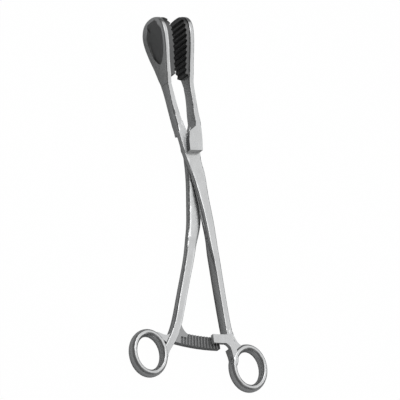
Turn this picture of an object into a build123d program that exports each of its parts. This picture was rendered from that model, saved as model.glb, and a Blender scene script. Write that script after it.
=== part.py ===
"""Cervical forceps: two crossing steel arms on a flush pin, with leaf jaws and a finger-ring ratchet.

Each arm is one forging. The box arm carries the right-hand jaw, the lock's front lug and rear plate,
the left-hand ring and the long ratchet bar. The plain arm carries the left-hand jaw, the tongue that
turns between lug and plate, the right-hand ring and the short ratchet bracket.

The arms are drawn in the opening plane: the pin is the origin, +Y runs up to the jaws, +Z is the
front. They are then laid down so that the jaws' lower edges and the rings rest on the ground.
"""
from build123d import *
import os
from math import atan2, cos, degrees, radians, sin

# Jaws: a leaf, wide across the opening plane, with a toothed rack on its inner face
leaf_tip_reach = 42.4        # from the rack's heel to the leaf's tip
leaf_tail = 5.0              # from the rack's heel back to the shank
leaf_thickness = 3.3
leaf_rows = [                # distance from the tip of a leaf that reaches 42.4, half width
    (3.0, 10.4), (8.0, 13.9), (14.0, 14.5), (21.0, 13.2), (28.0, 11.0), (35.0, 8.5), (42.4, 6.4),
]
leaf_outline = [(d * leaf_tip_reach / leaf_rows[-1][0], half) for d, half in leaf_rows]
leaf_heel_half = leaf_outline[-1][1]
leaf_tail_half = 4.8
leaf_outer_round = 1.2
dish_outline = [(5.7, 6.6), (10.2, 9.5), (15.8, 10.1), (22.4, 8.7), (28.1, 6.1), (31.9, 3.1)]
dish_top = 3.4               # from the leaf's tip
dish_bottom = 33.4
dish_depth = 1.1
dish_floor = 0.9             # size of its floor against its rim
rack_height = 3.3            # tooth crests above the leaf's inner face
rack_inset = 0.7             # from the leaf's edge
rack_groove = 0.5            # step where the rack meets the leaf
tooth_pitch = 3.7
tooth_depth = 1.6

# Where each jaw starts in the opening plane, and how far it leans to the left
plain_heel = (-15.0, 47.3)
plain_lean = 14.0
box_heel = (-7.1, 49.0)
box_lean = 8.6

# Lock: lug, tongue and plate, counted along the pin
pin_radius = 2.0
running_gap = 0.05           # round the pin, in the tongue
side_gap = 0.1               # each side of the tongue
tongue_front = 2.6
tongue_depth = 4.2
lug_depth = 4.5
plate_depth = 4.0
boss_radius = 6.0            # of the tongue, round the pin
plate_radius = 5.6           # of the rear plate, round the pin
web_radius = 9.3             # clear of the tongue, where lug and plate meet
web_floor = 10.2             # the web's lowest point, clear of the plain arm when closed
lug_outline = [
    (-3.9, -5.9), (5.6, -4.3), (5.3, 3.5), (4.5, 11.5), (3.4, 18.0),
    (0.9, 17.3), (0.3, 12.6), (-4.4, 7.8), (-4.6, 1.0),
]
plate_outline = [(-3.0, 4.0), (4.6, 4.0), (3.4, 17.0), (0.9, 16.5)]

# Shanks: centre x, centre y, width in the opening plane, depth, middle height
plain_upper = [
    (-16.3, 35.6, 3.5, 8.7, -0.7),
    (-14.1, 29.0, 3.9, 8.1, -1.2),
    (-11.9, 22.0, 4.2, 8.0, -1.4),
    (-9.8, 15.5, 4.7, 8.0, -1.4),
    (-7.5, 6.4, 5.6, 8.0, -1.4),
]
plain_lower = [
    (-8.4, 9.5, 5.0, 4.2, 0.5),
    (-4.9, 3.0, 7.4, 4.2, 0.5),
    (-0.2, -3.3, 12.6, 4.2, 0.5),
    (2.0, -11.0, 11.0, 4.2, 0.5),
    (4.8, -18.5, 10.0, 4.2, 0.5),
    (7.4, -28.0, 8.4, 4.3, 0.55),
    (9.9, -39.0, 7.0, 5.0, 0.6),
    (12.9, -52.0, 6.4, 6.2, 0.3),
    (15.6, -66.0, 5.8, 6.5, 0.25),
    (17.0, -73.0, 5.4, 7.8, -0.4),
    (18.5, -80.0, 5.0, 8.7, -0.85),
    (21.1, -94.5, 4.8, 9.0, -1.0),
    (23.6, -108.5, 4.7, 9.0, -1.0),
    (26.1, -122.0, 4.8, 8.8, -0.9),
    (28.8, -134.0, 5.3, 8.2, -0.6),
    (32.0, -144.5, 4.8, 7.6, -0.2),
    (32.2, -153.0, 4.0, 6.6, 0.0),
]
box_upper = [
    (-0.7, 39.3, 3.4, 9.0, 0.2),
    (0.5, 32.0, 3.5, 9.4, 0.2),
    (1.4, 25.0, 3.8, 10.2, 0.2),
    (2.6, 17.4, 4.4, 11.0, 0.6),
    (2.6, 11.0, 4.4, 11.0, 0.6),
]
box_lower = [
    (0.3, 4.0, 8.6, 4.0, -3.8),
    (1.6, -4.0, 9.6, 4.0, -3.85),
    (3.3, -13.5, 9.8, 4.6, -4.25),
    (4.6, -27.0, 9.9, 4.9, -4.6),
    (5.1, -41.0, 9.4, 4.8, -5.6),
    (4.9, -56.0, 8.8, 4.7, -6.0),
    (3.1, -67.0, 7.4, 4.7, -5.75),
    (0.2, -77.5, 6.6, 5.2, -2.5),
    (-3.6, -92.0, 6.2, 5.2, 0.4),
    (-7.0, -110.0, 5.9, 5.8, 0.35),
    (-9.9, -126.0, 5.7, 6.4, 0.2),
    (-13.2, -138.5, 5.7, 6.9, 0.0),
    (-17.3, -147.5, 5.2, 6.9, 0.0),
    (-20.0, -156.0, 4.0, 6.6, 0.0),
]
inner_round = 0.5
outer_round = 1.3

# Finger rings: ovals of a flattened round bar
ring_half_width = 11.5       # to the middle of the bar
ring_half_height = 14.4
ring_bar_width = 5.0
ring_bar_depth = 8.0
plain_ring = (43.4, -152.6)
box_ring = (-31.7, -156.0)
web_depth = 5.6              # of the flat between shank and ring
box_web_edge = [
    (-29.0, -142.0), (-25.2, -140.6), (-21.1, -141.4), (-17.2, -140.2), (-14.8, -136.0), (-13.0, -130.0),
]
box_web_back = [(-12.4, -140.0), (-17.0, -148.0), (-24.1, -143.8)]
plain_web_edge = [(30.6, -129.5), (32.6, -134.2), (35.4, -137.3), (40.8, -138.0)]
plain_web_back = [(36.6, -142.0), (33.3, -148.2), (30.6, -146.0), (28.6, -132.0)]

# Ratchet: the bar's teeth face the front, the bracket's teeth face the back, one above the other
ratchet_inner = 136.0        # radii about the pin
ratchet_outer = 144.0
ratchet_back = -4.8
ratchet_crest = -0.35
ratchet_tooth = 0.9
ratchet_teeth = 13
teeth_start = -2.9
teeth_fill = 0.42             # of half a tooth's pitch, at its mouth
bar_root = [(-8.6, -125.0), (-6.9, -129.5), (-4.9, -133.6), (-1.5, -136.2)]
ratchet_start = -5.5         # degrees from straight down, on the box arm
ratchet_end = 9.1
bracket_inner = 135.1
bracket_outer = 141.2
bracket_start = 6.5
bracket_end = 12.0
bracket_front = 3.5
bracket_crest = 0.15
bracket_teeth = 4
elbow_edge = [(22.0, -139.3), (24.6, -138.8), (27.2, -139.9), (29.3, -142.6), (30.2, -146.5)]
bar_way = 0.4                # round the bar, where it passes behind the plain arm
bar_way_end = 15.8           # degrees, past the bar's tip when closed

through = 60.0               # longer than any hole or cut is deep


def frame_at(x, y, lean, z=0.0):
    """Plane across an arm that runs along +Y leaning left: its x is to the right, its y is +Z."""
    turn = radians(lean)
    return Plane(origin=(x, y, z), x_dir=(cos(turn), sin(turn), 0), z_dir=(sin(turn), -cos(turn), 0))


def bar_section(x, y, lean, width, depth, mid, outer_side):
    """Rounded section of a shank, with the softer corners on its outer side (+1 right, -1 left)."""
    box = Rectangle(width, depth)
    outer = [v for v in box.vertices() if v.X * outer_side > 0]
    face = fillet(outer, min(outer_round, 0.3 * width))
    inner = [v for v in face.vertices() if v.X * outer_side < 0]
    face = fillet(inner, min(inner_round, 0.2 * width))
    return frame_at(x, y, lean, mid) * face


def shank(rows, outer_side, first=None):
    """Loft through the rows, each section square to the line of centres."""
    rows = ([first] if first else []) + rows
    faces = []
    for i, (x, y, width, depth, mid) in enumerate(rows):
        x0, y0 = rows[max(i - 1, 0)][:2]
        x1, y1 = rows[min(i + 1, len(rows) - 1)][:2]
        lean = degrees(atan2(x1 - x0, y0 - y1))
        faces.append(bar_section(x, y, lean, width, depth, mid, outer_side))
    return loft(faces)


def leaf_face(points, start, end, end_half, inset=0.0):
    """Leaf outline in (distance from the heel, z), symmetric in z; its tip is round."""
    upper = [(end, end_half - inset)] if end_half else [(end, 0.0)]
    upper += [(leaf_tip_reach - d, half - inset) for d, half in reversed(points)]
    upper.append((start - inset, 0.0))
    side = Spline(*upper, tangents=[(1, 0.2) if end_half else (0, 1), (0, -1)])
    edges = [side, side.mirror(Plane.XZ)]
    if end_half:
        edges.append(Line(upper[0], (end, inset - end_half)))
    return make_face(edges)


def tooth_row(length):
    """Outline of the rack in (distance from the heel, height): triangular teeth on a flat base."""
    count = int(length // tooth_pitch)
    points = [(0.0, 0.0)]
    for i in range(count):
        points.append((i * tooth_pitch + 0.25 * tooth_pitch, rack_height))
        points.append(((i + 1) * tooth_pitch, rack_height - tooth_depth))
    points.append((length, rack_height - tooth_depth))
    points.append((length, 0.0))
    return make_face(Polyline(*points, close=True))


def jaw():
    """Leaf with its rack, lying flat: x from the heel to the tip, y across, z towards the partner."""
    outline = leaf_face(leaf_outline, leaf_tip_reach, -leaf_tail, leaf_tail_half)
    leaf = extrude(outline, -leaf_thickness)
    outer_edges = leaf.edges().filter_by(lambda e: e.center().Z < -leaf_thickness + 0.01)
    rim = [e for e in outer_edges if e.length > 2.2 * leaf_tail_half]
    leaf = fillet(rim, leaf_outer_round)
    dish = leaf_face(dish_outline, leaf_tip_reach - dish_top, leaf_tip_reach - dish_bottom, 0.0)
    middle = leaf_tip_reach - (dish_top + dish_bottom) / 2
    floor = Pos(middle, 0, 0) * scale(Pos(-middle, 0, 0) * dish, by=dish_floor)
    leaf -= Pos(0, 0, -leaf_thickness) * loft([dish, Pos(0, 0, dish_depth) * floor])
    teeth = extrude(Plane.XZ * tooth_row(leaf_tip_reach), through, both=True)
    rows = leaf_outline[:-1]
    top = leaf_face(rows, leaf_tip_reach, 0.0, leaf_heel_half, rack_inset)
    neck = leaf_face(rows, leaf_tip_reach, 0.0, leaf_heel_half, 2 * rack_inset)
    rack = extrude(Pos(0, 0, rack_groove) * top, rack_height - rack_groove) & teeth
    return leaf + rack + extrude(Pos(0, 0, -0.2) * neck, rack_groove + 0.4)


def placed_jaw(heel, lean, outward):
    """The jaw in its arm: crests on the heel's line, leaf on the outer side (+1 right, -1 left)."""
    turn = radians(lean)
    along = Vector(-sin(turn), cos(turn), 0)
    inward = Vector(-outward * cos(turn), -outward * sin(turn), 0)
    origin = Vector(heel[0], heel[1], 0) - inward * rack_height
    return Plane(origin=origin, x_dir=along, z_dir=inward).location * jaw()


def leaf_end(heel, lean, outward):
    """Row of the shank's first section, in the middle of the leaf's tail."""
    turn = radians(lean)
    out = rack_height + leaf_thickness / 2
    x = heel[0] + outward * cos(turn) * out + sin(turn) * leaf_tail
    y = heel[1] + outward * sin(turn) * out - cos(turn) * leaf_tail
    return (x, y, leaf_thickness, 2 * leaf_tail_half, 0.0)


def finger_ring(centre):
    """Closed oval of a bar whose section is an ellipse."""
    path = Pos(*centre, 0) * Ellipse(ring_half_width, ring_half_height).edge()
    start = path @ 0
    section = Ellipse(ring_bar_width / 2, ring_bar_depth / 2)
    return sweep(Plane(origin=start, x_dir=(1, 0, 0), z_dir=path % 0) * section, path=path)


def on_arc(radius, angle):
    """Point at a radius about the pin, at an angle from straight down towards the plain arm."""
    return (radius * sin(radians(angle)), -radius * cos(radians(angle)))


def arc_band(inner, outer, start, end, low, high):
    """Band about the pin between two radii and two angles from straight down."""
    lines = [
        CenterArc((0, 0), inner, start - 90, end - start),
        CenterArc((0, 0), outer, start - 90, end - start),
        Line(on_arc(inner, start), on_arc(outer, start)),
        Line(on_arc(inner, end), on_arc(outer, end)),
    ]
    return extrude(Pos(0, 0, low) * make_face(lines), high - low)


def ratchet_cuts(inner, outer, start, end, count, crest, depth):
    """Wedges that cut a row of radial teeth into a face: down from the crest, or up for a negative depth."""
    pitch = (end - start) / count
    middle = (inner + outer) / 2
    width = radians(pitch) * middle
    cuts = []
    for i in range(count):
        angle = start + (i + 0.5) * pitch
        mouth = teeth_fill * width
        profile = make_face(Polyline((-mouth, 0), (mouth, 0), (mouth / 4, -depth), close=True))
        wedge = extrude(Plane.XZ * profile, outer - inner + 4, both=True)
        cuts.append(Rot(0, 0, angle) * Pos(0, -middle, crest) * wedge)
    return cuts


def curved_web(edge, back, low, high):
    """Flat piece whose outer edge is a smooth curve and whose other sides lie inside its neighbours."""
    face = make_face([Spline(*edge), Polyline(edge[-1], *back, edge[0])])
    return extrude(Pos(0, 0, low) * face, high - low)


def box_arm():
    front = tongue_front + side_gap + lug_depth
    plate_front = tongue_front - tongue_depth - side_gap
    plate_back = plate_front - plate_depth
    lug_face = make_face(Polyline(*lug_outline, close=True))
    block = extrude(Pos(0, 0, plate_back) * lug_face, front - plate_back)
    below = Pos(0, web_floor - through / 2, 0) * Box(through, through, through)
    lug = extrude(Pos(0, 0, front - lug_depth) * lug_face, lug_depth)
    lock = block - (Cylinder(web_radius, through) + below) + lug
    lock += Pos(0, 0, plate_front - plate_depth / 2) * Cylinder(plate_radius, plate_depth)
    lock += extrude(Pos(0, 0, plate_back) * make_face(Polyline(*plate_outline, close=True)), plate_depth)
    arm = shank(box_upper, 1, first=leaf_end(box_heel, box_lean, 1)) + lock
    arm += shank(box_lower, -1)
    arm += placed_jaw(box_heel, box_lean, 1)
    arm += finger_ring(box_ring)
    arm += curved_web(box_web_edge, box_web_back, -web_depth / 2, web_depth / 2)
    bar = arc_band(ratchet_inner, ratchet_outer, ratchet_start, ratchet_end, ratchet_back, ratchet_crest)
    row = (ratchet_inner, ratchet_outer, teeth_start, ratchet_end, ratchet_teeth)
    for cut in ratchet_cuts(*row, ratchet_crest, ratchet_tooth):
        bar -= cut
    arm += bar
    root_back = [on_arc(ratchet_inner + 3, -1.0), on_arc(ratchet_inner + 3, -5.0), box_lower[-3][:2]]
    arm += curved_web(bar_root, root_back, ratchet_back + 1.5, ratchet_crest)
    return arm - Cylinder(pin_radius, through)


def plain_arm():
    arm = shank(plain_upper, -1, first=leaf_end(plain_heel, plain_lean, -1))
    arm += shank(plain_lower, 1)
    arm += Pos(0, 0, tongue_front - tongue_depth / 2) * Cylinder(boss_radius, tongue_depth)
    arm += placed_jaw(plain_heel, plain_lean, -1)
    arm += finger_ring(plain_ring)
    arm += curved_web(plain_web_edge, plain_web_back, -web_depth / 2, web_depth / 2)
    way = (ratchet_inner - bar_way, ratchet_outer + bar_way, bracket_start, bar_way_end)
    arm -= arc_band(*way, ratchet_back - 2, bracket_crest)
    bracket = arc_band(bracket_inner, bracket_outer, bracket_start, bracket_end, bracket_crest, bracket_front)
    row = (ratchet_inner, ratchet_outer, bracket_start, ratchet_end, bracket_teeth)
    for cut in ratchet_cuts(*row, bracket_crest, -ratchet_tooth):
        bracket -= cut
    arm += bracket
    elbow_back = [plain_lower[-2][:2], plain_lower[-3][:2], (24.0, -136.5)]
    arm += curved_web(elbow_edge, elbow_back, bracket_crest, bracket_front)
    return arm - Cylinder(pin_radius + running_gap, through)


def lock_pin():
    front = tongue_front + side_gap + lug_depth
    back = tongue_front - tongue_depth - side_gap - plate_depth
    return extrude(Pos(0, 0, back) * Circle(pin_radius), front - back)


def resting_tilt(solid):
    """Angle about X at which the jaw's lower edge and the ring are level."""
    tilt = 0.0
    jaw_middle = box_heel[1] + leaf_tip_reach / 2
    ring_middle = box_ring[1]
    for _ in range(6):
        turned = Rot(tilt, 0, 0) * solid
        jaw_half = turned & (Pos(0, jaw_middle, 0) * Box(400, 100, 100))
        ring_half = turned & (Pos(0, ring_middle, 0) * Box(400, 100, 100))
        drop = ring_half.bounding_box().min.Z - jaw_half.bounding_box().min.Z
        tilt += degrees(atan2(drop, jaw_middle - ring_middle))
    return tilt


parts = {"box_arm": box_arm(), "plain_arm": plain_arm(), "lock_pin": lock_pin()}
tilt = resting_tilt(parts["box_arm"])
laid = {name: Rot(tilt, 0, 0) * solid for name, solid in parts.items()}
boxes = [solid.bounding_box() for solid in laid.values()]
low = Vector(*(min(getattr(box.min, axis) for box in boxes) for axis in "XYZ"))
high = Vector(*(max(getattr(box.max, axis) for box in boxes) for axis in "XYZ"))
shift = (-(low.X + high.X) / 2, -(low.Y + high.Y) / 2, -low.Z)

os.makedirs("parts", exist_ok=True)
for name, solid in laid.items():
    export_step(Pos(*shift) * solid, f"parts/{name}.step")
print("tilt", round(tilt, 4), "pin axis point", [round(v, 4) for v in shift])
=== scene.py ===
import math

import bmesh
import bpy
import numpy as np
from mathutils import Matrix, Vector


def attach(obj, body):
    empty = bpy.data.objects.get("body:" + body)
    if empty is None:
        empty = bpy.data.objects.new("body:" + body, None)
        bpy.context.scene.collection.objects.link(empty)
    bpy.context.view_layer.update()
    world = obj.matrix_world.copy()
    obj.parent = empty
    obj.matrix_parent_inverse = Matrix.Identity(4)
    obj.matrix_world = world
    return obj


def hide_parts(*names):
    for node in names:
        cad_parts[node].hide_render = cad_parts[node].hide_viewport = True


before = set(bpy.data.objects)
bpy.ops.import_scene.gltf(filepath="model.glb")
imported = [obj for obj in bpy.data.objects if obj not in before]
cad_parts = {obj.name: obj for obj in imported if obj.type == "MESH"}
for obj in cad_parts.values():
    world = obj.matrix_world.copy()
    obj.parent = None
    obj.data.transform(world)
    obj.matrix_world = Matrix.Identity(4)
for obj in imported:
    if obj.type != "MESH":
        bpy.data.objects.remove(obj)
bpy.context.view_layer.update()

# The forceps were drawn flat, in millimetres with the lock pin at the origin, and then laid down.
# This turn about X and this place of the pin, in metres, take that drawing to the frame.
RESTING_TILT = math.radians(2.4273)
PIN_PLACE = Vector((-0.00585, 0.040531, 0.0113855))
LAY_DOWN = Matrix.Rotation(RESTING_TILT, 4, "X")
MM_PER_METRE = 1000.0

# Jaws in that drawing: the heel of each rack at the height of its crests, the lean to the left in
# degrees, the side the leaf is on, and how much the scene raises the whole rack
PLAIN_JAW = {"heel": (-15.0, 47.3), "lean": 14.0, "outward": -1, "extra_rack": 1.1}
BOX_JAW = {"heel": (-7.1, 49.0), "lean": 8.6, "outward": 1, "extra_rack": 0.0}
RACK_HEIGHT = 3.3
TOOTH_DEPTH = 1.6
LEAF_THICKNESS = 3.3
LEAF_REACH = 42.4
RACK_REACH = 44.0
# The dish in the CAD lies within these half widths at distances from the tip, and is this deep
DISH_LIMIT = [
    (2.6, 5.0), (5.7, 7.8), (10.2, 10.6), (15.8, 11.2),
    (22.4, 9.9), (28.1, 7.4), (31.9, 4.6), (34.2, 3.0),
]
DISH_DEPTH = 1.2

# Changes to the copies, in millimetres: tooth roots up and crests a little down, dishes moved
ROOT_LIFT, CREST_DROP = 0.35, 0.15
DISH_SHIFT_TO_TIP, DISH_SHIFT_TO_FRONT, DISH_STRETCH = 0.5, 1.6, 1.01

# The lock in that drawing: back of the plain arm's tongue, back of the box arm's lug, the lug's
# middle height with half its height and width, and front of the shank above the lug
TONGUE_BACK = -1.6
LUG_BACK = 2.75
LUG_MIDDLE, LUG_HALF_HEIGHT, LUG_HALF_WIDTH = 3.5, 9.5, 7.5
UPPER_SHANK_FRONT = 6.2
# Outline of the piece that closes the notch between the plain arm's upper shank and its tongue
SHOULDER = [
    (-8.5, 17.0), (-9.5, 12.0), (-8.5, 5.0), (-4.5, 3.0), (-1.9, 5.2),
    (-3.3, 7.9), (-4.3, 9.6), (-5.7, 12.6), (-7.2, 16.4),
]
SHOULDER_FRONT, SHOULDER_BACK = 2.58, -1.55

# Shading levels in millimetres at places along the arms: the rise of the box arm's lower shank from
# behind the other arm, the turn of that shank's face, and where the plain arm's faces are turned
SHANK_RISE = [(-92.0, 6.4), (-77.5, 3.5), (-67.0, 0.3), (-56.0, 0.0)]
SHANK_TURN = [(-75.0, 0.0), (-60.0, 0.42), (-30.0, 0.42), (-15.0, 0.0)]
LOCK_STRETCH = [(-13.0, 0.0), (-5.0, 1.0), (13.0, 1.0), (20.0, 0.0)]
LOCK_SLOPE = 0.07

# Shanks in that drawing: centre x, centre y, width, depth, middle height
PLAIN_SHANKS = [
    [(-17.2, 39.0, 3.4, 9.6, 0.0), (-16.3, 35.6, 3.5, 8.7, -0.7), (-14.1, 29.0, 3.9, 8.1, -1.2),
     (-11.9, 22.0, 4.2, 8.0, -1.4), (-9.8, 15.5, 4.7, 8.0, -1.4), (-7.5, 6.4, 5.6, 8.0, -1.4)],
    [(-4.9, 3.0, 7.4, 4.2, 0.5), (-0.2, -3.3, 12.6, 4.2, 0.5), (2.0, -11.0, 11.0, 4.2, 0.5),
     (4.8, -18.5, 10.0, 4.2, 0.5), (7.4, -28.0, 8.4, 4.3, 0.55), (9.9, -39.0, 7.0, 5.0, 0.6),
     (12.9, -52.0, 6.4, 6.2, 0.3), (15.6, -66.0, 5.8, 6.5, 0.25), (17.0, -73.0, 5.4, 7.8, -0.4),
     (18.5, -80.0, 5.0, 8.7, -0.85), (21.1, -94.5, 4.8, 9.0, -1.0), (23.6, -108.5, 4.7, 9.0, -1.0),
     (26.1, -122.0, 4.8, 8.8, -0.9), (28.8, -134.0, 5.3, 8.2, -0.6),
     (32.0, -144.5, 4.8, 7.6, -0.2)],
]
BOX_SHANKS = [
    [(-0.9, 41.0, 3.4, 9.2, 0.2), (-0.7, 39.3, 3.4, 9.0, 0.2), (0.5, 32.0, 3.5, 9.4, 0.2),
     (1.4, 25.0, 3.8, 10.2, 0.2), (2.6, 17.4, 4.4, 11.0, 0.6)],
    [(1.6, -4.0, 9.6, 4.0, -3.85), (3.3, -13.5, 9.8, 4.6, -4.25), (4.6, -27.0, 9.9, 4.9, -4.6),
     (5.1, -41.0, 9.4, 4.8, -5.6), (4.9, -56.0, 8.8, 4.7, -6.0), (3.1, -67.0, 7.4, 4.7, -5.75),
     (0.2, -77.5, 6.6, 5.2, -2.5), (-3.6, -92.0, 6.2, 5.2, 0.4), (-7.0, -110.0, 5.9, 5.8, 0.35),
     (-9.9, -126.0, 5.7, 6.4, 0.2), (-13.2, -138.5, 5.7, 6.9, 0.0), (-17.3, -147.5, 5.2, 6.9, 0.0)],
]


class Val:
    """A number socket used in sums: each operator adds one Math node to its finish."""

    def __init__(self, finish, socket):
        self.finish = finish
        self.socket = socket

    def __add__(self, other):
        return self.finish.math("ADD", self, other)

    __radd__ = __add__

    def __mul__(self, other):
        return self.finish.math("MULTIPLY", self, other)

    __rmul__ = __mul__

    def __sub__(self, other):
        return self.finish.math("SUBTRACT", self, other)

    def __rsub__(self, other):
        return self.finish.math("SUBTRACT", other, self)

    def __pow__(self, other):
        return self.finish.math("POWER", self, other)

    def step(self, low, high):
        """0 below low, 1 above high and a smooth rise between them. It falls from 1 to 0 instead
        if low is above high."""
        settings = {"interpolation_type": "SMOOTHSTEP"}
        if low < high:
            return self.finish.node("ShaderNodeMapRange", settings, {0: self, 1: low, 2: high})
        return 1 - self.finish.node("ShaderNodeMapRange", settings, {0: self, 1: high, 2: low})


class Finish:
    """The nodes of one material, or of the world."""

    def __init__(self, tree):
        self.tree = tree

    def node(self, kind, settings, inputs, output=0):
        """Adds a node, with its settings and with each input as a value or a link, and returns
        one output."""
        made = self.tree.nodes.new(kind)
        for name, setting in settings.items():
            setattr(made, name, setting)
        for name, value in inputs.items():
            if isinstance(value, Val):
                self.tree.links.new(value.socket, made.inputs[name])
            else:
                made.inputs[name].default_value = value
        return Val(self, made.outputs[output])

    def math(self, operation, a, b):
        return self.node("ShaderNodeMath", {"operation": operation}, {0: a, 1: b})

    def mix(self, share, first, second):
        """A colour that goes from the first to the second by a share from 0 to 1."""
        inputs = {0: share, 6: first, 7: second}
        return self.node("ShaderNodeMix", {"data_type": "RGBA"}, inputs, 2)

    def grey(self, low, high, share):
        """A colour between two greys, each a little cool, by a share from 0 to 1."""
        dark, light = [(0.985 * tone, 0.995 * tone, tone, 1) for tone in (low, high)]
        return self.mix(share, dark, light)

    def stored(self, name):
        """A number that the mesh carries under this name."""
        return self.node("ShaderNodeAttribute", {"attribute_name": name}, {}, "Fac")

    def link(self, value, target):
        self.tree.links.new(value.socket, target)


def new_finish(name):
    """A named material, its Finish and its Principled shader."""
    material = bpy.data.materials.new(name)
    material.use_nodes = True
    finish = Finish(material.node_tree)
    return material, finish, material.node_tree.nodes["Principled BSDF"]


def drawn_place(finish):
    """Object coordinates taken back to the flat drawing, in millimetres from the pin."""
    place = finish.node("ShaderNodeTexCoord", {}, {}, "Object")
    settings = {"vector_type": "TEXTURE"}
    inputs = {0: place, 1: PIN_PLACE, 2: (RESTING_TILT, 0, 0), 3: (1 / MM_PER_METRE,) * 3}
    return finish.node("ShaderNodeMapping", settings, inputs)


def stretched_noise(finish, place, per_mm, detail):
    """Noise whose grain has its own fineness along each axis of the drawing, spread over 0 to 1."""
    grain = finish.node("ShaderNodeMapping", {}, {0: place, 3: per_mm})
    noise = finish.node("ShaderNodeTexNoise", {}, {"Vector": grain, "Scale": 1.0, "Detail": detail})
    return noise.step(0.3, 0.7)


def along(finish, place, direction, offset=0.0):
    """Distance of a place along a direction, less an offset."""
    settings = {"operation": "DOT_PRODUCT"}
    inputs = {0: place, 1: tuple(direction)}
    return finish.node("ShaderNodeVectorMath", settings, inputs, "Value") - offset


def jaw_axes(jaw):
    """Directions of a jaw in the drawing: towards the other jaw, and from its heel to its tip."""
    lean = math.radians(jaw["lean"])
    inward = np.array([-jaw["outward"] * math.cos(lean), -jaw["outward"] * math.sin(lean), 0.0])
    return inward, np.array([-math.sin(lean), math.cos(lean), 0.0])


def jaw_marks(finish, place, jaw):
    """Masks of the toothed rack and of its tooth roots, from the jaw's own axes. The finish paints
    the rack near black as the shade between the jaws, and the roots darker still as shade.
    """
    inward, upward = jaw_axes(jaw)
    heel = np.array([*jaw["heel"], 0.0])
    height = along(finish, place, inward, heel @ inward - RACK_HEIGHT)
    reach = along(finish, place, upward, heel @ upward)
    rack = height.step(0.1, 0.3) * reach.step(-0.3, -0.1)
    root = height.step(RACK_HEIGHT - 0.2, RACK_HEIGHT - TOOTH_DEPTH) * rack
    return rack, root


def bar_mark(finish, place):
    """Mask of the ratchet bar and its root, to the right of the box arm's shank and below the
    shank's front."""
    right_of_shank = along(finish, place, (1.0, -0.264, 0.0)).step(26.3, 26.6)
    low = along(finish, place, (0.0, -1.0, 0.0)).step(123.0, 124.0)
    under = along(finish, place, (0.0, 0.0, 1.0)).step(-0.2, -0.3)
    return right_of_shank * low * under


def steel_finish(name, jaw, has_bar):
    """Satin instrument steel with fine grinding lines along the arms and soft cloudiness. Faces
    are crowned across the shanks. Painted shade darkens the rear edges and the lug's sides, and
    the rack is painted near black as shade, with painted light on its flat sides. The dish is
    matt and painted darker as the shade of its hollow, and the ratchet bar of one arm is duller
    and painted darker as the shade of its grooves."""
    material, finish, shader = new_finish(name)
    place = drawn_place(finish)
    lines = stretched_noise(finish, place, (5.0, 0.25, 5.0), 3.0)
    cloud = stretched_noise(finish, place, (0.16, 0.09, 0.16), 2.0)
    grain = stretched_noise(finish, place, (9.0, 9.0, 9.0), 2.0)
    rack, root = jaw_marks(finish, place, jaw)
    dish = finish.stored("dish_face")
    depth = finish.stored("depth_share")
    width = finish.stored("width_share")
    width_squared = width * width

    # Painted shade: the rear parts of the side faces and the rounded rear edges, with the lug's
    # left side and foot, are mixed towards a dark grey where less light falls
    painted_rear_edge_shade = depth.step(-0.35, -0.85) * width_squared.step(0.6, 0.8)
    painted_shade_share = 0.85 * painted_rear_edge_shade + 0.8 * finish.stored("lug_shaded_side")
    # Painted light and shade on the rack over random grain: flat sides lighter as lit, tooth roots
    # darker as shade
    rack_grain_and_painted_light = grain * (1 - root) + 1.4 * finish.stored("rack_lit_side")
    colour = finish.grey(0.66, 0.76, 0.55 * lines + 0.45 * cloud)
    colour = finish.mix(painted_shade_share, colour, finish.grey(0.26, 0.30, grain))
    # Painted shade: the dish is mixed towards a dark grey as the shade of its hollow; its added
    # roughness makes it matt
    colour = finish.mix(dish, colour, finish.grey(0.25, 0.33, grain))
    # Painted shade: the whole rack is mixed towards near black, as the shade between the jaws
    colour = finish.mix(rack, colour, finish.grey(0.10, 0.17, rack_grain_and_painted_light))
    rough = 0.20 + 0.07 * lines + 0.05 * cloud + dish * 0.3 + rack * 0.16
    if has_bar:
        bar = bar_mark(finish, place)
        # Painted shade: the ratchet bar is mixed towards a darker grey as the shade of its grooves;
        # its added roughness makes it duller
        colour = finish.mix(bar, colour, finish.grey(0.36, 0.46, grain))
        rough = rough + bar * 0.12

    relief = lines * (1 - dish) + grain * (dish + rack)
    inputs = {"Height": relief, "Strength": 0.12, "Distance": 0.00003}
    fine = finish.node("ShaderNodeBump", {}, inputs)
    crown = finish.stored("lean") - (depth * depth * 0.75 + width_squared ** 2.0 * 0.34)
    inputs = {"Height": crown, "Strength": 1.0, "Distance": 0.001, "Normal": fine}
    bump = finish.node("ShaderNodeBump", {}, inputs)
    shader.inputs["Metallic"].default_value = 1.0
    finish.link(colour, shader.inputs["Base Color"])
    finish.link(rough, shader.inputs["Roughness"])
    finish.link(bump, shader.inputs["Normal"])
    return material


def pin_finish():
    """The same steel, faced on a lathe: fine rings round the pin."""
    material, finish, shader = new_finish("faced_pin_steel")
    place = drawn_place(finish)
    flat = finish.node("ShaderNodeMapping", {}, {0: place, 3: (1.0, 1.0, 0.0)})
    radius = finish.node("ShaderNodeVectorMath", {"operation": "LENGTH"}, {0: flat}, "Value")
    rings = finish.math("SINE", radius * 14.0, 0.0) * 0.5 + 0.5
    cloud = stretched_noise(finish, place, (1.2, 1.2, 1.2), 2.0)
    shader.inputs["Metallic"].default_value = 1.0
    finish.link(finish.grey(0.64, 0.76, 0.5 * rings + 0.5 * cloud), shader.inputs["Base Color"])
    finish.link(0.22 + 0.08 * rings, shader.inputs["Roughness"])
    inputs = {"Height": rings, "Strength": 0.1, "Distance": 0.00002}
    bump = finish.node("ShaderNodeBump", {}, inputs)
    finish.link(bump, shader.inputs["Normal"])
    return material


def to_drawing(points):
    """Points of the frame, in metres, taken back to the flat drawing in millimetres."""
    turn = np.array(LAY_DOWN.to_3x3())
    return (points - np.array(PIN_PLACE)) @ turn * MM_PER_METRE


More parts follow.
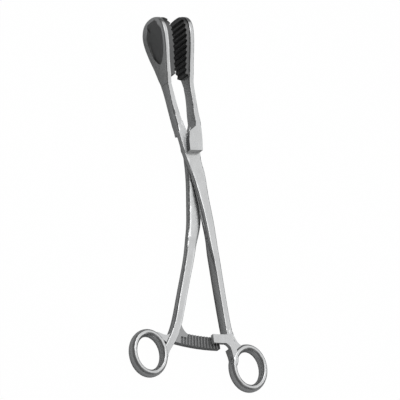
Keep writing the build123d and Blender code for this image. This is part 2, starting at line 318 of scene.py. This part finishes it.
def to_frame(points):
    """Points of the flat drawing, in millimetres, laid down in the frame in metres."""
    turn = np.array(LAY_DOWN.to_3x3())
    return points / MM_PER_METRE @ turn.T + np.array(PIN_PLACE)


def shares_across(points, shanks):
    """How far each point is across its shank, -1 to 1 in width and in depth, from the nearest
    stretch of the shank's line of centres. Both fade to 0 at a shank's ends and away from it."""
    plain_end, fade_length = 4.0, 14.0
    most_reach, fade_reach = 1.5, 0.2
    most_width, most_depth = 0.9, 0.85
    best = np.full(len(points), 1e9)
    shares = np.zeros((2, len(points)))
    for rows in shanks:
        rows = np.array(rows)
        runs = np.diff(rows[:, :2], axis=0)
        lengths = np.hypot(runs[:, 0], runs[:, 1])
        starts = np.append(0.0, np.cumsum(lengths))
        for a, b, run, length, start in zip(rows, rows[1:], runs, lengths, starts):
            off = points[:, :2] - a[:2]
            t = np.clip(off @ run / length ** 2, 0.0, 1.0)
            off = off - t[:, None] * run
            width, depth, middle = a[2:, None] + t * (b[2:] - a[2:])[:, None]
            across = (off[:, 1] * run[0] - off[:, 0] * run[1]) / length / (width / 2)
            deep = (points[:, 2] - middle) / (depth / 2)
            beyond = np.maximum(np.hypot(off[:, 0], off[:, 1]) - 0.6 * width, 0.0)
            reach = np.maximum(np.abs(across), np.abs(deep)) + beyond
            place = start + t * length
            to_end = np.minimum(place, starts[-1] - place)
            fade = np.clip((to_end - plain_end) / fade_length, 0.0, 1.0)
            fade = fade * np.clip((most_reach - reach) / fade_reach, 0.0, 1.0)
            across = np.clip(across, -most_width, most_width)
            deep = np.clip(deep, -most_depth, most_depth)
            near = reach < best
            best[near] = reach[near]
            shares[:, near] = (np.array([across, deep]) * fade)[:, near]
    return shares


def jaw_place(points, jaw):
    """How high points are on a jaw, from the leaf's inner face towards the other jaw, and how far
    they are from its heel."""
    inward, upward = jaw_axes(jaw)
    from_heel = points - np.array([*jaw["heel"], 0.0])
    return from_heel @ inward + RACK_HEIGHT, from_heel @ upward


def facing(points, triangles):
    """The direction that each triangle faces."""
    corners = points[triangles]
    normal = np.cross(corners[:, 1] - corners[:, 0], corners[:, 2] - corners[:, 0])
    return normal / np.maximum(np.linalg.norm(normal, axis=1), 1e-12)[:, None]


def dish_faces(points, triangles, jaw):
    """Which triangles are in the dish on the outside of a jaw's leaf."""
    height, reach = jaw_place(points, jaw)
    sunk = height + LEAF_THICKNESS
    limits = np.array(DISH_LIMIT)
    half = np.interp(LEAF_REACH - reach, limits[:, 0], limits[:, 1], left=0.0, right=0.0)
    in_limit = (sunk > -0.01) & (sunk < DISH_DEPTH) & (np.abs(points[:, 2]) < half)
    return in_limit[triangles].all(axis=1) & (sunk[triangles].max(axis=1) > 0.03)


def rack_sides(points, triangles, jaw):
    """Which triangles are on the two flat sides of a jaw's rack, which the finish paints lighter as
    lit faces.
    """
    height, reach = jaw_place(points, jaw)
    on_rack = (height[triangles].mean(axis=1) > 0.1) & (reach[triangles].mean(axis=1) > -0.1)
    return on_rack & (np.abs(facing(points, triangles)[:, 2]) > 0.5)


def lug_sides(points, triangles):
    """Which triangles are on the left side and the foot of the box arm's lug, which the finish
    paints dark as shade.
    """
    x, y, z = points[triangles].mean(axis=1).T
    normal = facing(points, triangles)
    on_lug = (z > LUG_BACK) & (np.abs(x) < LUG_HALF_WIDTH)
    on_lug &= np.abs(y - LUG_MIDDLE) < LUG_HALF_HEIGHT
    return on_lug & ((normal[:, 0] < -0.5) | (normal[:, 1] < -0.5))


def leaf_share(points, jaw, width_share):
    """The width share, and on a jaw how far each point is through the leaf's thickness."""
    height, reach = jaw_place(points, jaw)
    through = np.clip((height + LEAF_THICKNESS / 2) / (LEAF_THICKNESS / 2), -0.9, 0.9)
    return np.where(reach > 0.0, through, width_share)


def along_arms(points, rows):
    """A value at each point's place along the arms, from rows of place and value."""
    places, values = np.array(rows).T
    return np.interp(points[:, 1], places, values)


def box_lean(points, width_share):
    """Level in millimetres that shades the box arm's lower shank as one even face: it takes away
    the rise from behind the other arm, and turns the face a little from that arm."""
    turn = along_arms(points, SHANK_TURN)
    return turn * width_share - along_arms(points, SHANK_RISE)


def plain_lean(points):
    """Level in millimetres that turns the plain arm's faces at the lock a little from the lug."""
    return LOCK_SLOPE * points[:, 0] * along_arms(points, LOCK_STRETCH)


def dress_jaw(points, triangles, jaw):
    """Raises the rack and makes its teeth a little shallower, and moves the dish towards the front
    and the tip."""
    inward, upward = jaw_axes(jaw)
    height, reach = jaw_place(points, jaw)
    on_rack = (reach > -0.2) & (reach < RACK_REACH) & (height > 1.0) & (height < RACK_HEIGHT + 0.1)
    crest_share = (height - (RACK_HEIGHT - TOOTH_DEPTH)) / TOOTH_DEPTH
    lift = jaw["extra_rack"] + ROOT_LIFT - (ROOT_LIFT + CREST_DROP) * crest_share
    moved = points + np.where(on_rack, lift, 0.0)[:, None] * inward
    in_dish = np.zeros(len(points), bool)
    in_dish[triangles[dish_faces(points, triangles, jaw)]] = True
    moved[in_dish] += DISH_SHIFT_TO_TIP * upward
    moved[in_dish, 2] = moved[in_dish, 2] * DISH_STRETCH + DISH_SHIFT_TO_FRONT
    return moved


def ramp_lug(points):
    """Lets the lug's front fall by a millimetre to the shank's front at its upper end, as a ramp
    and not a step."""
    x, y, z = points.T
    middle, half_width, lowest, highest = 2.0, 4.5, 12.7, 19.0
    ramp_foot, ramp_length = 12.6, 4.7
    on_lug = (z > UPPER_SHANK_FRONT) & (np.abs(x - middle) < half_width)
    on_lug &= (y > lowest) & (y < highest)
    moved = points.copy()
    moved[:, 2] -= np.where(on_lug, np.clip((y - ramp_foot) / ramp_length, 0.0, 1.0), 0.0)
    return moved


def draw_in_plate(points):
    """Draws in the bulge on the left edge of the box arm's rear plate."""
    x, y, z = points.T
    kept_edge, kept_bulge = -2.5, 0.7
    plate_back, half_height = -6.2, 6.0
    bulge = (x < kept_edge) & (np.abs(y) < half_height) & (z < TONGUE_BACK) & (z > plate_back)
    moved = points.copy()
    moved[bulge, 0] = kept_edge + (x[bulge] - kept_edge) * kept_bulge
    return moved


def ease_step(points):
    """Lets the back of the plain arm's upper shank rise towards the lock, so that the step there
    is low."""
    x, y, z = points.T
    rise_start, rise_length, most_rise = 14.0, 9.0, 0.55
    right_edge, lowest, highest = -4.0, 3.0, 16.0
    above_step = (z < TONGUE_BACK) & (x < right_edge) & (y > lowest) & (y < highest)
    share = np.where(above_step, np.clip((rise_start - y) / rise_length, 0.0, 1.0), 0.0)
    moved = points.copy()
    moved[:, 2] += share * most_rise * (TONGUE_BACK - z)
    return moved


def store_marks(mesh, points, triangles, shanks, jaw):
    """Stores on the mesh what its finish reads: shares, shading levels and kinds of face, among
    them the faces that the finish paints as light or shade.
    """
    width_share, depth_share = shares_across(points, shanks)
    width_share = leaf_share(points, jaw, width_share)
    lean = box_lean(points, width_share) if jaw is BOX_JAW else plain_lean(points)
    at_points = {"width_share": width_share, "depth_share": depth_share, "lean": lean}
    for name, values in at_points.items():
        mesh.attributes.new(name, "FLOAT", "POINT").data.foreach_set("value", values)
    on_faces = {
        "dish_face": dish_faces(points, triangles, jaw),
        "rack_lit_side": rack_sides(points, triangles, jaw),
        "lug_shaded_side": lug_sides(points, triangles) & (jaw is BOX_JAW),
    }
    for name, values in on_faces.items():
        values = values.astype(float)
        mesh.attributes.new(name, "FLOAT", "FACE").data.foreach_set("value", values)


def smooth_copy(node, name, body, material, shanks=None, jaw=None, changes=()):
    """A copy of a CAD node with its loose triangles joined, so that rounds shade smooth and edges
    stay crisp. An arm also gets its marks and its changes of shape."""
    work = bmesh.new()
    work.from_mesh(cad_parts[node].data)
    bmesh.ops.remove_doubles(work, verts=work.verts, dist=2e-6)
    bmesh.ops.dissolve_degenerate(work, dist=1e-7, edges=work.edges)
    bmesh.ops.triangulate(work, faces=work.faces)
    mesh = bpy.data.meshes.new(name)
    work.to_mesh(mesh)
    work.free()
    if "custom_normal" in mesh.attributes:
        mesh.attributes.remove(mesh.attributes["custom_normal"])
    flat = np.empty(len(mesh.vertices) * 3)
    mesh.vertices.foreach_get("co", flat)
    points = to_drawing(flat.reshape(-1, 3))
    if jaw:
        triangles = np.array([face.vertices[:] for face in mesh.polygons])
        store_marks(mesh, points, triangles, shanks, jaw)
        points = dress_jaw(points, triangles, jaw)
    for change in changes:
        points = change(points)
    mesh.vertices.foreach_set("co", to_frame(points).ravel())
    mesh.update()
    mesh.polygons.foreach_set("use_smooth", np.ones(len(mesh.polygons), bool))
    mesh.set_sharp_from_angle(angle=math.radians(30))
    mesh.materials.clear()
    mesh.materials.append(material)
    piece = bpy.data.objects.new(name, mesh)
    bpy.context.scene.collection.objects.link(piece)
    even = piece.modifiers.new("flats shade flat", "WEIGHTED_NORMAL")
    even.keep_sharp = True
    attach(piece, body)
    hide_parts(node)


def filled_outline(name, outline, front, back, body, material):
    """A flat piece from its outline: two caps and a wall, with eased edges."""
    count = len(outline)
    points = np.array([(x, y, z) for z in (front, back) for x, y in outline])
    corners = to_frame(points)
    ring = np.arange(count)
    after = np.roll(ring, -1)
    walls = np.column_stack([ring, ring + count, after + count, after]).tolist()
    faces = [ring.tolist(), (ring[::-1] + count).tolist(), *walls]
    mesh = bpy.data.meshes.new(name)
    mesh.from_pydata(corners.tolist(), [], faces)
    lean = plain_lean(points)
    mesh.attributes.new("lean", "FLOAT", "POINT").data.foreach_set("value", lean)
    mesh.materials.append(material)
    piece = bpy.data.objects.new(name, mesh)
    bpy.context.scene.collection.objects.link(piece)
    soft = piece.modifiers.new("eased edges", "BEVEL")
    soft.width = 0.0002
    soft.segments = 2
    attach(piece, body)


def add_floor():
    """A plain floor: white to the camera with a faint shadow, and to the steel a grey card that
    darkens away from the object, with a trace of the white."""
    half, drop = 3.0, 0.0002
    quarters = [(-1, -1), (1, -1), (1, 1), (-1, 1)]
    corners = [(half * x, half * y, -drop) for x, y in quarters]
    mesh = bpy.data.meshes.new("floor")
    mesh.from_pydata(corners, [], [(0, 1, 2, 3)])
    material, finish, shader = new_finish("floor_card")
    finish.tree.nodes.remove(shader)
    camera = finish.node("ShaderNodeLightPath", {}, {}, "Is Camera Ray")
    glossy = finish.node("ShaderNodeLightPath", {}, {}, "Is Glossy Ray")
    through = finish.node("ShaderNodeLightPath", {}, {}, "Is Transmission Ray")
    place = finish.node("ShaderNodeTexCoord", {}, {}, "Object")
    away = finish.node("ShaderNodeVectorMath", {"operation": "LENGTH"}, {0: place}, "Value")
    tone = finish.grey(0.10, 0.46, away.step(0.45, 0.10))
    card = finish.node("ShaderNodeBsdfDiffuse", {}, {"Color": tone})
    white = finish.node("ShaderNodeEmission", {}, {"Color": (1, 1, 1, 1), "Strength": 1.02})
    share = 0.97 * camera + 0.03 * glossy + 0.97 * through
    mixed = finish.node("ShaderNodeMixShader", {}, {0: share, 1: card, 2: white})
    finish.link(mixed, finish.tree.nodes["Material Output"].inputs["Surface"])
    mesh.materials.append(material)
    floor = bpy.data.objects.new("floor", mesh)
    bpy.context.scene.collection.objects.link(floor)


def add_world():
    """White to the camera, and to everything else a dim sky. The sky is bright above and to the
    right, with a faint strip above on the left and a clearer one low on the right."""
    world = bpy.data.worlds.new("studio")
    bpy.context.scene.world = world
    world.use_nodes = True
    finish = Finish(world.node_tree)
    direction = finish.node("ShaderNodeTexCoord", {}, {}, "Generated")
    above_right = along(finish, direction, (0.40, 0.30, 0.866)).step(0.60, 0.80)
    sideways = along(finish, direction, (1.0, 0.0, 0.0))
    upwards = along(finish, direction, (0.0, 0.0, 1.0))
    left_strip = sideways.step(-0.34, -0.22) * sideways.step(0.12, 0.0) * upwards.step(0.4, 0.6)
    right_strip = sideways.step(0.62, 0.78) * upwards.step(0.1, 0.2)
    sky = 0.12 + 0.68 * above_right + 0.16 * left_strip + 0.40 * right_strip
    camera = finish.node("ShaderNodeLightPath", {}, {}, "Is Camera Ray")
    strength = sky * (1 - camera) + camera
    background = world.node_tree.nodes["Background"]
    background.inputs["Color"].default_value = (1, 1, 1, 1)
    finish.link(strength, background.inputs["Strength"])


def add_softbox(name, direction, distance, size, power):
    """A square lamp at a distance from the object's middle, facing it."""
    lamp = bpy.data.lights.new(name, "AREA")
    lamp.size = size
    lamp.energy = power
    holder = bpy.data.objects.new(name, lamp)
    holder.location = Vector(direction).normalized() * distance
    holder.rotation_euler = holder.location.to_track_quat("Z", "Y").to_euler()
    bpy.context.scene.collection.objects.link(holder)


def add_camera():
    """The photograph's view of the drawing: 28 degrees to the left of the front, 23 degrees below
    it, at 1.49 pixels to the millimetre in a picture 400 pixels wide. The picture's middle is set
    off from the pin by a few pixels."""
    side, below = math.radians(28.0), math.radians(23.0)
    px_per_mm, picture_px = 1.49, 400.0
    right_of_pin, above_pin = 9.5, -53.5
    lens, sensor = 1000.0, 36.0
    right = Vector((math.cos(side), 0.0, math.sin(side)))
    left_part, front_part = math.sin(side), math.cos(side)
    up = Vector((-math.sin(below) * left_part, math.cos(below), math.sin(below) * front_part))
    back = right.cross(up)
    px_per_metre = px_per_mm * MM_PER_METRE
    width = picture_px / px_per_metre
    aim = (right * right_of_pin + up * above_pin) / px_per_metre
    distance = width * lens / sensor
    camera = bpy.data.cameras.new("camera")
    camera.lens = lens
    camera.sensor_width = sensor
    camera.clip_end = 50.0
    holder = bpy.data.objects.new("camera", camera)
    turn = Matrix((right, up, back)).transposed().to_4x4()
    in_drawing = Matrix.Translation(aim + back * distance) @ turn
    holder.matrix_world = Matrix.Translation(PIN_PLACE) @ LAY_DOWN @ in_drawing
    bpy.context.scene.collection.objects.link(holder)
    bpy.context.scene.camera = holder


box_steel = steel_finish("satin_steel_box_arm", BOX_JAW, True)
plain_steel = steel_finish("satin_steel_plain_arm", PLAIN_JAW, False)
smooth_copy("box_arm", "box_arm_steel", "box_side", box_steel,
            BOX_SHANKS, BOX_JAW, [ramp_lug, draw_in_plate])
smooth_copy("plain_arm", "plain_arm_steel", "plain_side", plain_steel,
            PLAIN_SHANKS, PLAIN_JAW, [ease_step])
smooth_copy("lock_pin", "lock_pin_steel", "box_side", pin_finish())
filled_outline("plain_arm_shoulder", SHOULDER, SHOULDER_FRONT, SHOULDER_BACK,
               "plain_side", plain_steel)

add_floor()
add_world()
add_softbox("softbox", (-0.10, 0.38, 0.92), 1.6, 0.55, 1.6)
add_camera()
bpy.context.scene.view_settings.view_transform = "Standard"
